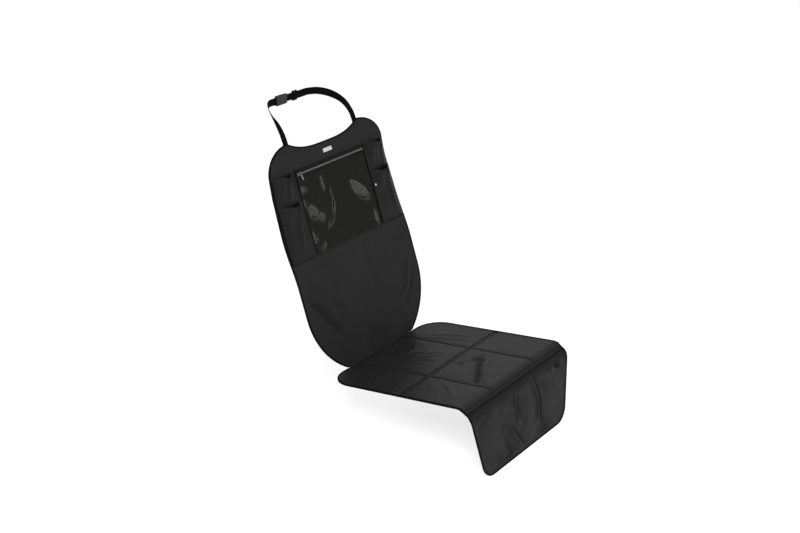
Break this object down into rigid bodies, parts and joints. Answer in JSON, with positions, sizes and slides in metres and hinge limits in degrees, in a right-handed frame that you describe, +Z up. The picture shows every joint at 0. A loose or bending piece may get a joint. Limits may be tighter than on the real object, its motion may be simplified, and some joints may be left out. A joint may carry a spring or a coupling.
{
  "type": "car seat protector",
  "caption": "Fabric seat protector with a padded back panel, clear zipped window, side pockets, seat panel, front flap and headrest strap.",
  "frame": {"origin": "under side of the seat panel, on its centre line, 160 mm of cloth in front of the crease, where the panel rests on the cushion", "axes": "+X towards the sitter's left, +Y from the front edge towards the backrest, +Z up"},
  "size_m": [0.4918, 0.7878, 0.8302],
  "materials": {
    "black_cloth": "woven polyester, matt with a faint sheen",
    "lining_cloth": "thin woven lining, matt",
    "foam": "soft foam sheet, hidden",
    "grip_cloth": "cloth coated with small rubber dots",
    "edge_tape": "folded ribbed tape, matt",
    "clear_film": "clear soft film, glossy",
    "zip_tape": "woven tape, matt",
    "zip_teeth": "grey coil, satin",
    "zip_metal": "dull grey metal",
    "webbing": "woven webbing, matt",
    "black_plastic": "moulded, fine satin",
    "white_label": "blank woven label, white",
    "white_plastic": "small white cap"
  },
  "bodies": {
    "protector": {"back_panel_face": "black_cloth", "back_padding": "foam", "back_lining": "lining_cloth", "back_binding": "edge_tape", "seat_panel_face": "black_cloth", "seat_padding": "foam", "seat_grip_backing": "grip_cloth", "seat_binding": "edge_tape", "flap_face": "black_cloth", "flap_lining": "lining_cloth", "crease_tape": "edge_tape", "window_film": "clear_film", "window_piping_left": "edge_tape", "window_piping_right": "edge_tape", "zip_tape_upper": "zip_tape", "zip_tape_lower": "zip_tape", "zip_teeth_upper": "zip_teeth", "zip_teeth_lower": "zip_teeth", "zip_stop_left": "zip_metal", "zip_stop_right": "zip_metal", "pocket_left_upper": "black_cloth", "pocket_left_lower": "black_cloth", "pocket_right_upper": "black_cloth", "pocket_right_lower": "black_cloth", "blank_label": "white_label", "press_stud": "white_plastic", "strap_left": "webbing", "strap_right": "webbing", "strap_slide": "black_plastic", "buckle_socket": "black_plastic"},
    "slider": {"zip_slider": "zip_metal"},
    "pull": {"zip_pull": "zip_metal"},
    "buckle_release": {"buckle_plug": "black_plastic", "strap_running_end": "webbing"}
  },
  "joints": [
    {"name": "zip_slide", "type": "slide", "parent": "protector", "child": "slider", "axis": [1, 0, 0], "range_m": [0, 0.256]},
    {"name": "zip_pull_swing", "type": "hinge", "parent": "slider", "child": "pull", "pos_m": [-0.1312, 0.31965, 0.49854], "axis": [-1, 0, 0], "range_deg": [0, 150]},
    {"name": "buckle_slide", "type": "slide", "parent": "protector", "child": "buckle_release", "axis": [1, 0, 0], "range_m": [0, 0.022]}
  ]
}
